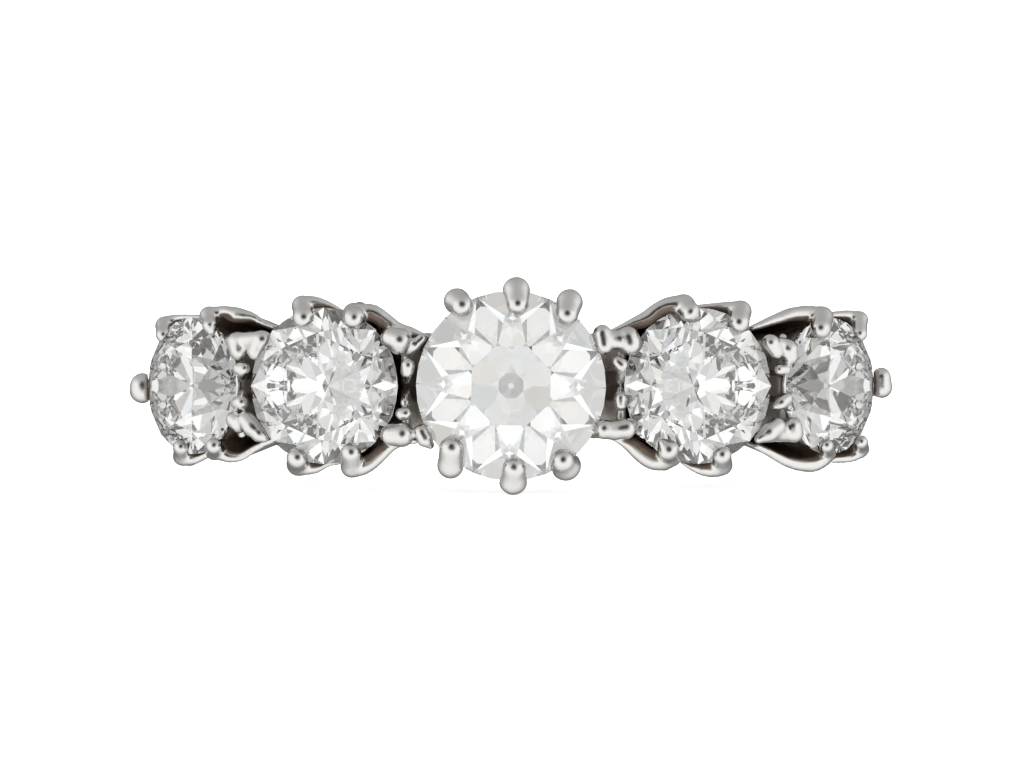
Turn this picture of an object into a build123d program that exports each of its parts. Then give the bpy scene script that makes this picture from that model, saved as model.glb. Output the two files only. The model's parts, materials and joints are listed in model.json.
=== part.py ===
from build123d import *
from collections import namedtuple
from math import atan2, cos, degrees, radians, sin, sqrt
import os

# Five stone ring, in millimetres and degrees
# Every piece is drawn in the ring's own frame: finger axis Z, finger centre at the origin and
# the middle stone facing -Y. The last section lays the whole ring on its side, as it rests

# Finger hole, tapered shank and the plain rail under the collets. The shoulder turn is counted
# from the middle stone, and the shank swells only near its shoulders
finger_diameter = 17.3
shank_thickness = 1.30
shank_shoulder_thickness = 1.65
shank_edge_share = 0.56
shank_back_width = 2.00
shank_shoulder_width = 3.00
shank_swell_power = 3
shoulder_turn = 48.0
rail_thickness = 0.80
rail_width = 2.90
rail_lap = 4.0

# Stones: girdle diameters, girdle heights over the finger hole and tilts away from the middle
centre_diameter = 5.40
inner_diameter = 4.45
outer_diameter = 3.90
centre_height = 3.65
inner_height = 3.79
outer_height = 3.95
inner_tilt = 21.0
outer_tilt = 49.5
centre_gap = 0.53
outer_gap = 0.41
girdle_thickness = 0.09
seat_clearance = 0.03

# Collets under the stones, with slots between claws that stand close together
collet_inset = 0.12
collet_drop = 0.30
collet_wall = 0.42
collet_foot_share = 0.56
slot_width = 0.52
slot_height = 1.30
slot_depth = 1.50
widest_slot_turn = 90.0

# Claws: how far they stand out past the girdle, reach in over the crown and rise above the girdle
centre_claw_width = 0.80
inner_claw_width = 0.68
outer_claw_width = 0.62
claw_overhang = 0.42
claw_reach = 0.55
claw_height = 0.78
claw_leg_share = 0.75
claw_neck_share = 0.94
claw_tip_share = 0.90
claw_foot_share = 0.80
# The share of a leg's radius by which its foot is sunk in the collet
claw_sink = 0.50

# Saddles, beads and spines between the stones. Offsets up the ring are shares of the smaller
# neighbour's radius
saddle_share = 0.57
saddle_width = 0.86
saddle_waist_share = 0.80
lobe_reach = 0.22
lobe_height = -0.05
bead_share = 0.24
bead_radius = 0.25
bead_rise = 0.125
spine_thickness = 0.40
spine_notch = 0.75
# How far the spine runs under the saddle past the saddle's middle, as a share of its width
spine_lap = 0.25

# Scroll walls from the outer stone's claw in to the pinch at each gap
centre_pinch_share = 0.75
outer_pinch_share = 0.86
pinch_drop = 0.50
pinch_tuck = 0.10
scroll_wall = 0.28
scroll_bulge = 0.16
scroll_lean = 14.0

# Cut of each stone: the table, star and lower half lengths, crown, pavilion and culet are
# shares of the girdle's diameter or radius, and turn is the bearing of one table corner
Cut = namedtuple("Cut", "table crown pavilion star lower_half culet turn")
centre_cut = Cut(table=0.415, crown=0.16, pavilion=0.43, star=0.46, lower_half=0.60, culet=0.03, turn=21.2)
inner_cut = Cut(table=0.62, crown=0.145, pavilion=0.425, star=0.50, lower_half=0.74, culet=0.012, turn=0.0)
outer_cut = Cut(table=0.50, crown=0.165, pavilion=0.43, star=0.48, lower_half=0.60, culet=0.025, turn=0.0)
mains = 8
edges_per_main = 4

# Claws of each stone: the bearing from the viewer's right towards the top, and the width as a
# share of that stone's claw width
Claw = namedtuple("Claw", "bearing width")
centre_claws = [
    Claw(54, 0.95), Claw(87, 0.92), Claw(122, 1.0),
    Claw(-130, 0.98), Claw(-88, 0.98), Claw(-55, 1.05),
]
inner_left_claws = [Claw(104, 0.96), Claw(63, 1.08), Claw(-109, 1.0), Claw(-66, 1.0)]
inner_right_claws = [Claw(102, 1.08), Claw(61, 0.98), Claw(-118, 1.08), Claw(-76, 0.98)]
outer_left_claws = [Claw(180, 1.36), Claw(122, 0.95), Claw(60, 1.1), Claw(-97, 0.98), Claw(-53, 1.1)]
outer_right_claws = [Claw(0, 1.36), Claw(69, 0.98), Claw(119, 1.1), Claw(-66, 0.98), Claw(-112, 1.05)]

# Worked out from the sizes above
finger_radius = finger_diameter / 2
rail_middle = finger_radius + rail_thickness / 2
# How far a cutter or a joined foot runs past the face that it meets
overcut = 0.5
slot_cut_reach = 2 * collet_wall
finger_cut_length = 4 * finger_radius
# A bar whose direction rises more than this is nearly upright
upright_rise = 0.9

inner_along = centre_diameter / 2 + centre_gap + inner_diameter / 2 * cos(radians(inner_tilt))
inner_edge = inner_along + inner_diameter / 2 * cos(radians(inner_tilt))
outer_along = inner_edge + outer_gap + outer_diameter / 2 * cos(radians(outer_tilt))

Setting = namedtuple("Setting", "name along height tilt radius cut claws claw_width")
centre_setting = Setting("centre_stone", 0.0, centre_height, 0.0, centre_diameter / 2,
                         centre_cut, centre_claws, centre_claw_width)
settings = [
    Setting("outer_stone_left", -outer_along, outer_height, -outer_tilt, outer_diameter / 2,
            outer_cut, outer_left_claws, outer_claw_width),
    Setting("inner_stone_left", -inner_along, inner_height, -inner_tilt, inner_diameter / 2,
            inner_cut, inner_left_claws, inner_claw_width),
    centre_setting,
    Setting("inner_stone_right", inner_along, inner_height, inner_tilt, inner_diameter / 2,
            inner_cut, inner_right_claws, inner_claw_width),
    Setting("outer_stone_right", outer_along, outer_height, outer_tilt, outer_diameter / 2,
            outer_cut, outer_right_claws, outer_claw_width),
]
# Each gap by the stone to its left and the stone to its right
gaps = list(zip(settings, settings[1:]))
sides = (-1, 1)


def seat_plane(setting):
    """The girdle's middle plane: X to the viewer's right, Y up the ring, Z out of the stone."""
    rise = sqrt((finger_radius + setting.height) ** 2 - setting.along ** 2)
    lean = radians(setting.tilt)
    return Plane(
        origin=(setting.along, -rise, 0),
        x_dir=(cos(lean), sin(lean), 0),
        z_dir=(sin(lean), -cos(lean), 0),
    )


def polar(radius, bearing, height):
    """A point by its radius, its bearing in degrees and its height."""
    return Vector(radius * cos(radians(bearing)), radius * sin(radians(bearing)), height)


# Stones

def crown_and_pavilion(setting):
    """The heights and radii that the facets meet at, each measured from the girdle's edge."""
    cut = setting.cut
    half_main = cos(radians(180 / mains))
    girdle = setting.radius
    table = cut.table * girdle / half_main
    crown_slope = cut.crown * 2 * girdle / (girdle - table)
    star = table * half_main + cut.star * (girdle - table * half_main)
    star_height = (girdle - star * half_main) * crown_slope
    culet = cut.culet * girdle
    pavilion_slope = cut.pavilion * 2 * girdle / (girdle - culet)
    lower = girdle - cut.lower_half * (girdle - culet)
    lower_depth = (girdle - lower * half_main) * pavilion_slope
    return table, star, star_height, culet, lower, lower_depth


def cut_stone(setting):
    """A round stone of flat facets about its own girdle."""
    cut = setting.cut
    table, star, star_height, culet, lower, lower_depth = crown_and_pavilion(setting)
    main_turn = 360 / mains
    edge_turn = main_turn / edges_per_main
    girdle = setting.radius
    half_girdle = girdle_thickness / 2
    # Between two corners of a half facet the round girdle bulges past the straight chord
    bulge = girdle * (1 / cos(radians(edge_turn)) - 1) * cos(radians(edge_turn))
    crown_bulge = bulge * star_height / ((girdle - star) * cos(radians(edge_turn)))
    pavilion_bulge = bulge * lower_depth / ((girdle - lower) * cos(radians(edge_turn)))

    def corner(radius, place, height):
        return polar(radius, cut.turn + main_turn * place, height)

    def table_corner(n):
        return corner(table, n, half_girdle + cut.crown * 2 * girdle)

    def star_tip(n):
        return corner(star, n + 0.5, half_girdle + star_height)

    def crown_edge(n):
        return corner(girdle, n / edges_per_main, half_girdle - crown_bulge * (n % 2))

    def pavilion_edge(n):
        return corner(girdle, n / edges_per_main, -half_girdle + pavilion_bulge * (n % 2))

    def lower_tip(n):
        return corner(lower, n + 0.5, -half_girdle - lower_depth)

    def culet_corner(n):
        return corner(culet / cos(radians(main_turn / 2)), n + 0.5, -half_girdle - cut.pavilion * 2 * girdle)

    facets = [
        [table_corner(n) for n in range(mains)],
        [culet_corner(n) for n in range(mains)],
    ]
    for n in range(mains):
        first = edges_per_main * n
        near, far = range(first, first + 3), range(first + 2, first + 5)
        facets += [
            [table_corner(n), star_tip(n), table_corner(n + 1)],
            [table_corner(n), star_tip(n - 1), crown_edge(first), star_tip(n)],
            [star_tip(n)] + [crown_edge(m) for m in near],
            [star_tip(n)] + [crown_edge(m) for m in far],
            [lower_tip(n)] + [pavilion_edge(m) for m in near],
            [lower_tip(n)] + [pavilion_edge(m) for m in far],
            [culet_corner(n), lower_tip(n), pavilion_edge(first), lower_tip(n - 1), culet_corner(n - 1)],
        ]
    for n in range(mains * edges_per_main):
        facets.append([crown_edge(n), pavilion_edge(n), pavilion_edge(n + 1), crown_edge(n + 1)])
    return Solid(Shell([Face(Wire.make_polygon(corners)) for corners in facets]))


def seated_stone(setting):
    """The stone where its setting holds it."""
    with BuildPart() as stone:
        with Locations(seat_plane(setting)):
            add(cut_stone(setting))
    return stone.part


def stone_room(setting):
    """The turned space that the stone sits in, clear of every facet by the seat clearance."""
    table, star, star_height, culet, lower, lower_depth = crown_and_pavilion(setting)
    girdle = setting.radius + seat_clearance
    half_girdle = girdle_thickness / 2 + seat_clearance
    crown = half_girdle + girdle * star_height / (setting.radius - star)
    pavilion = half_girdle + girdle * lower_depth / (setting.radius - lower)
    seat = seat_plane(setting)
    with BuildPart() as room:
        with BuildSketch(Plane(origin=seat.origin, x_dir=seat.x_dir, z_dir=-seat.y_dir)):
            with BuildLine():
                rim = [(girdle, -half_girdle), (girdle, half_girdle)]
                Polyline((0, -pavilion), *rim, (0, crown), close=True)
            make_face()
        revolve(axis=Axis(seat.origin, seat.z_dir))
    return room.part


# Collets

def collet_foot(setting):
    """How far below the girdle the collet ends, inside the rail."""
    return setting.height - rail_thickness / 2


def collet_radius(setting, depth):
    """The collet's outer radius at a depth below the girdle."""
    top = setting.radius - collet_inset
    foot = setting.radius * collet_foot_share
    share = (depth - collet_drop) / (collet_foot(setting) - collet_drop)
    return top + (foot - top) * share


def collet_cone(setting, top_depth, foot_depth, inset):
    """A cone in line with the collet's outer face, set in by the inset."""
    with BuildPart() as cone:
        with Locations(seat_plane(setting).offset(-foot_depth)):
            Cone(
                bottom_radius=collet_radius(setting, foot_depth) - inset,
                top_radius=collet_radius(setting, top_depth) - inset,
                height=foot_depth - top_depth,
                align=(Align.CENTER, Align.CENTER, Align.MIN),
            )
    return cone.part


def collet_slots(setting):
    """Slots through the collet's wall between claws that stand close together."""
    seat = seat_plane(setting)
    bearings = sorted(claw.bearing % 360 for claw in setting.claws)
    inside = collet_radius(setting, slot_depth) - slot_cut_reach
    with BuildPart() as slots:
        for first, second in zip(bearings, bearings[1:] + [bearings[0] + 360]):
            if second - first < widest_slot_turn:
                outwards = polar(1, (first + second) / 2, 0)
                start = seat.from_local_coords(outwards * inside - Vector(0, 0, slot_depth))
                facing = seat.from_local_coords(outwards) - seat.origin
                with BuildSketch(Plane(origin=start, x_dir=seat.z_dir, z_dir=facing)):
                    SlotOverall(slot_height, slot_width)
                extrude(amount=2 * slot_cut_reach)
    return slots.part


# Claws

def turned_bar(start, end, radii):
    """A round bar with domed ends, turned about the line between two points."""
    along = (end - start).normalized()
    level = Vector(0, 0, 1) if abs(along.Z) < upright_rise else Vector(1, 0, 0)
    sideways = along.cross(level).normalized()
    length = (end - start).length
    steps = [(radius, length * n / (len(radii) - 1)) for n, radius in enumerate(radii)]
    first, last = radii[0], radii[-1]
    dome = sqrt(0.5)
    with BuildPart() as turned:
        with BuildSketch(Plane(origin=start, x_dir=sideways, z_dir=sideways.cross(along))):
            with BuildLine():
                ThreePointArc((0, -first), (first * dome, -first * dome), (first, 0))
                Polyline(*steps)
                ThreePointArc((last, length), (last * dome, length + last * dome), (0, length + last))
                Line((0, length + last), (0, -first))
            make_face()
        revolve(axis=Axis(start, along))
    return turned.part


def claw_bars(setting):
    """Each claw of a stone: a leg up the outside of the collet and a head bent in over the girdle."""
    seat = seat_plane(setting)
    depth = claw_foot_share * collet_foot(setting)
    bars = []
    for claw in setting.claws:
        radius = setting.claw_width * claw.width / 2
        leg_radius = radius * claw_leg_share
        foot_radius = collet_radius(setting, depth) - claw_sink * leg_radius
        knuckle_radius = setting.radius + claw_overhang - radius
        tip_radius = setting.radius - claw_reach + radius
        foot = seat.from_local_coords(polar(foot_radius, claw.bearing, -depth))
        knuckle = seat.from_local_coords(polar(knuckle_radius, claw.bearing, 0))
        tip = seat.from_local_coords(polar(tip_radius, claw.bearing, claw_height - radius))
        bars.append(turned_bar(foot, knuckle, [leg_radius, radius * claw_neck_share]))
        bars.append(turned_bar(knuckle, tip, [radius, radius * claw_tip_share]))
    return bars


# Saddles, beads and spines

def gap_edge(setting, side, offset, inwards, height):
    """A point over the girdle's edge beside a gap, at an offset up the ring."""
    chord = sqrt(setting.radius ** 2 - offset ** 2)
    return seat_plane(setting).from_local_coords(Vector(side * (chord - inwards), offset, height))


def across_gap(left, right, offset, inwards, height):
    """The two points that face each other across a gap."""
    return gap_edge(left, 1, offset, inwards, height), gap_edge(right, -1, offset, inwards, height)


def smaller_radius(left, right):
    return min(left.radius, right.radius)


def saddle(left, right, side):
    """A waisted bar across the gap whose rounded ends lap over both girdles."""
    radius = saddle_width / 2
    offset = side * saddle_share * smaller_radius(left, right)
    start, end = across_gap(left, right, offset, lobe_reach - radius, lobe_height)
    return turned_bar(start, end, [radius, radius * saddle_waist_share, radius])


def spine(left, right):
    """The wall that stands on the rail between two stones, notched between its two beads."""
    start, end = across_gap(left, right, 0, 0, 0)
    middle = (start + end) / 2
    outwards = middle.normalized()
    plane = Plane(origin=(0, 0, 0), x_dir=outwards, z_dir=outwards.cross(Vector(0, 0, 1)))
    crest = middle.length - bead_radius
    bead_offset = bead_share * smaller_radius(left, right)
    reach = saddle_share * smaller_radius(left, right) + spine_lap * saddle_width
    shoulder = bead_offset - bead_radius
    with BuildPart() as wall:
        with BuildSketch(plane):
            with BuildLine():
                Polyline(
                    (rail_middle, -reach),
                    (crest, -reach),
                    (crest, -shoulder),
                    (crest - spine_notch, 0),
                    (crest, shoulder),
                    (crest, reach),
                    (rail_middle, reach),
                    close=True,
                )
            make_face()
        extrude(amount=spine_thickness / 2, both=True)
        for side in sides:
            centre = plane.from_local_coords(Vector(crest + bead_rise, side * bead_offset, 0))
            # Poles on the wall's own line and the seam along its crest, away from the stones' rooms
            with Locations(Plane(origin=centre, x_dir=(0, 0, side), z_dir=outwards)):
                Sphere(bead_radius)
    return wall.part


# Scroll walls

def gap_claw(setting, inwards, side):
    """The claw on one side of the ring that stands nearest to the gap."""
    beside = [claw for claw in setting.claws if sin(radians(claw.bearing)) * side > 0]
    return max(beside, key=lambda claw: cos(radians(claw.bearing)) * inwards)


def scroll(left, right, side):
    """The wall that sweeps from the outer stone's claw in to the pinch beside the next stone."""
    outer, inner = sorted((left, right), key=lambda setting: -abs(setting.along))
    inwards = 1 if outer is left else -1
    claw = gap_claw(outer, inwards, side)
    knee_radius = outer.radius + claw_overhang - scroll_wall
    knee = seat_plane(outer).from_local_coords(polar(knee_radius, claw.bearing, 0))
    pinch_share = centre_pinch_share if inner is centre_setting else outer_pinch_share
    pinch_offset = side * pinch_share * smaller_radius(left, right)
    edge = gap_edge(inner, -inwards, pinch_offset, pinch_tuck, -pinch_drop)
    middle = (knee + edge) / 2
    outwards = Vector(middle.X, middle.Y, 0).normalized()
    along = Vector(0, 0, 1).cross(outwards)
    lean = outwards * cos(radians(scroll_lean)) + Vector(0, 0, side * sin(radians(scroll_lean)))
    plane = Plane(origin=middle, x_dir=along, z_dir=lean)
    start = plane.to_local_coords(knee)
    finish = plane.to_local_coords(edge)
    away = Vector(start.Y - finish.Y, finish.X - start.X).normalized()
    if away.Y * plane.y_dir.Z * side < 0:
        away = -away
    outer_face = [
        Vector(start.X, start.Y),
        Vector(start.X + finish.X, start.Y + finish.Y) / 2 + away * scroll_bulge,
        Vector(finish.X, finish.Y),
    ]
    inner_face = [point - away * scroll_wall for point in reversed(outer_face)]
    rim = (edge - knee).cross(Vector(0, 0, 1))
    if rim.dot(outwards) < 0:
        rim = -rim
    with BuildPart() as wall:
        with BuildSketch(plane):
            with BuildLine():
                ThreePointArc(*outer_face)
                Line(outer_face[-1], inner_face[0])
                ThreePointArc(*inner_face)
                Line(inner_face[-1], outer_face[0])
            make_face()
        extrude(amount=Vector(middle.X, middle.Y).length - rail_middle, both=True)
        split(bisect_by=Plane(origin=knee, z_dir=rim), keep=Keep.BOTTOM)
    return wall.part


# Shank and rail

def shank_section(turn):
    """The plane across the shank at a turn from the back, and the thickness and width there.

    The width grows in a straight line as seen from the side, so that the shank's sides are flat.
    """
    bearing = radians(90 + turn)
    share = (1 - cos(radians(turn))) / (1 + cos(radians(shoulder_turn)))
    swell = (shank_shoulder_thickness - shank_thickness) * share ** shank_swell_power
    width = shank_back_width + (shank_shoulder_width - shank_back_width) * share
    across = Plane(
        origin=(0, 0, 0),
        x_dir=(cos(bearing), sin(bearing), 0),
        z_dir=(-sin(bearing), cos(bearing), 0),
    )
    return across, shank_thickness + swell, width


shank_steps = 12
with BuildPart() as shank:
    for step in range(shank_steps + 1):
        across, thickness, width = shank_section((180 - shoulder_turn) * (2 * step / shank_steps - 1))
        inside = finger_radius - overcut
        edge = finger_radius + thickness * shank_edge_share
        with BuildSketch(across):
            with BuildLine():
                Polyline((edge, width / 2), (inside, width / 2), (inside, -width / 2), (edge, -width / 2))
                ThreePointArc((edge, -width / 2), (finger_radius + thickness, 0), (edge, width / 2))
            make_face()
    loft()

rail_turn = shoulder_turn + rail_lap
rail_start = -90 - rail_turn
rail_end = Plane(origin=(0, 0, 0), x_dir=polar(1, rail_start, 0), z_dir=polar(1, rail_start - 90, 0))
with BuildPart() as rail:
    with BuildSketch(rail_end):
        with Locations((finger_radius - overcut, 0)):
            Rectangle(rail_thickness + overcut, rail_width, align=(Align.MIN, Align.CENTER))
    revolve(axis=Axis.Z, revolution_arc=2 * rail_turn)


# The metal, soldered into one piece

with BuildPart() as ring_mount:
    add(rail.part)
    add(shank.part)
    collets = [collet_cone(setting, collet_drop, collet_foot(setting), 0) for setting in settings]
    cavities = [collet_cone(setting, 0, setting.height + overcut, collet_wall) for setting in settings]
    add(collets)
    add(cavities, mode=Mode.SUBTRACT)
    add([collet_slots(setting) for setting in settings], mode=Mode.SUBTRACT)
    add([bar for setting in settings for bar in claw_bars(setting)])
    add([spine(left, right) for left, right in gaps])
    add([saddle(left, right, side) for left, right in gaps for side in sides])
    add([scroll(left, right, side) for left, right in gaps for side in sides])
    add([stone_room(setting) for setting in settings], mode=Mode.SUBTRACT)
    Cylinder(finger_radius, finger_cut_length, mode=Mode.SUBTRACT)


# Laid on its side, on the middle stone's lower claws and the back of the shank, with the middle
# of its box over the origin

def lowest(piece, pitch):
    """The lowest height of a piece once the ring is pitched back by an angle."""
    return piece.rotate(Axis.X, -pitch).bounding_box().min.Z


centre_claw_bars = Compound(claw_bars(centre_setting))
rest_span = finger_diameter + shank_thickness + centre_height
rest_rounds = 4
rest_pitch = 0.0
for attempt in range(rest_rounds):
    drop = lowest(shank.part, rest_pitch) - lowest(centre_claw_bars, rest_pitch)
    rest_pitch += degrees(atan2(drop, rest_span))

box = ring_mount.part.rotate(Axis.X, -rest_pitch).bounding_box()
rest_shift = Vector(-box.center().X, -box.center().Y, -box.min.Z)
pieces = {"ring_mount": ring_mount.part}
pieces.update({setting.name: seated_stone(setting) for setting in settings})
os.makedirs("parts", exist_ok=True)
for name, piece in pieces.items():
    laid = piece.rotate(Axis.X, -rest_pitch).translate(rest_shift)
    laid.label = name
    export_step(laid, f"parts/{name}.step")

print(f"pitch {rest_pitch:.3f} degrees, finger centre at {rest_shift.Y:.3f}, {rest_shift.Z:.3f} in Y and Z")
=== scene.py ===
import json
from collections import namedtuple
from math import atan2, cos, pi, radians, sin, sqrt

import bpy
import numpy as np
from mathutils import Matrix, Vector


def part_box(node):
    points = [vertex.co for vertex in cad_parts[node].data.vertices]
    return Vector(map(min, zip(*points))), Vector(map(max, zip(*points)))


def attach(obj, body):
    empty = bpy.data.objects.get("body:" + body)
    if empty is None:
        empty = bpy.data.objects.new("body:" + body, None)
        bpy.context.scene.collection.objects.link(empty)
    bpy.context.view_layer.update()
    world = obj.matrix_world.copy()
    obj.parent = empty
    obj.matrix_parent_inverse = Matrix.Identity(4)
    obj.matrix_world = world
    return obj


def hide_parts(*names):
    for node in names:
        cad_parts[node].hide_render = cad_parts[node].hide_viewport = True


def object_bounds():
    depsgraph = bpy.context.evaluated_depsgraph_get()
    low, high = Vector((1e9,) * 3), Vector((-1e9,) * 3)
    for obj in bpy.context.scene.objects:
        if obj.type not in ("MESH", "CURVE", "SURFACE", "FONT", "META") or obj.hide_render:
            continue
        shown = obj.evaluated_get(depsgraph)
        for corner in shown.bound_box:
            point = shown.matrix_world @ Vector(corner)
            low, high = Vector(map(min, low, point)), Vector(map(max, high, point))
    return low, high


# Five stone ring lying on its side, in metres in the model's own frame. The metal is worked out in
# millimetres in the ring's own frame: finger axis Z, finger centre at the origin and the middle
# stone facing -Y

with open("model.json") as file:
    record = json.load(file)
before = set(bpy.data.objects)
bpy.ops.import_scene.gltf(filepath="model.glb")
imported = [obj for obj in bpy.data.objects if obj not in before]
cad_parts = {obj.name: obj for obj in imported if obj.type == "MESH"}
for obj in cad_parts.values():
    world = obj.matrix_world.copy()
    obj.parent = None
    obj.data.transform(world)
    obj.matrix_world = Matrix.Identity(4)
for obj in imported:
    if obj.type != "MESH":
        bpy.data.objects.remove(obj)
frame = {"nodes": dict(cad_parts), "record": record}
cad_bounds = [list(corner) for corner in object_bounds()]

MM = 0.001

# The finger bore gives the ring's own frame: its centre, and how far it is pitched back as it lies
bore = next(mount for mount in frame["record"]["mounts"] if mount["name"] == "finger_bore")
finger_centre = Vector(bore["pos_m"])
finger_radius = bore["dims"]["r_mm"]
pitch = atan2(bore["axis"][1], bore["axis"][2])
lay_down = Matrix.Translation(finger_centre) @ Matrix.Rotation(-pitch, 4, "X") @ Matrix.Scale(MM, 4)

# Photograph: its size in pixels, the size of one pixel in millimetres as the ring's width gives it,
# and the pixel of the middle stone
photo_width = 1024
photo_height = 768
pixel = 0.02842
middle_stone_pixel = (511.0, 383.5)

# Camera: far off with a long lens, so the row of stones has next to no perspective. It sees from the
# near to the far share of its distance
camera_distance = 1.0
sensor_width = 36.0
near_share = 0.1
far_share = 100.0

# Stones as the solids have them: place along the row, height over the finger hole, tilt and radius
Stone = namedtuple("Stone", "name along height tilt radius")
stones = [
    Stone("outer_stone_left", -9.061, 3.95, -49.5, 1.95),
    Stone("inner_stone_left", -5.307, 3.79, -21.0, 2.225),
    Stone("centre_stone", 0.0, 3.65, 0.0, 2.70),
    Stone("inner_stone_right", 5.307, 3.79, 21.0, 2.225),
    Stone("outer_stone_right", 9.061, 3.95, 49.5, 1.95),
]

# Shank, rail and collets, as the solids have them
shank_thickness = 1.30
shank_shoulder_thickness = 1.65
shank_edge_share = 0.56
shank_back_width = 2.00
shank_shoulder_width = 3.00
shank_swell_power = 3
shoulder_turn = 48.0
rail_thickness = 0.80
rail_width = 2.90
rail_lap = 4.0
collet_inset = 0.12
collet_drop = 0.30
collet_wall = 0.42
collet_foot_share = 0.56
slot_width = 0.52
slot_height = 1.30
slot_depth = 1.50
widest_slot_turn = 90.0
# How far past the finger hole's surface the collets' cavities are cut
cavity_reach = 1.0

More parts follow.
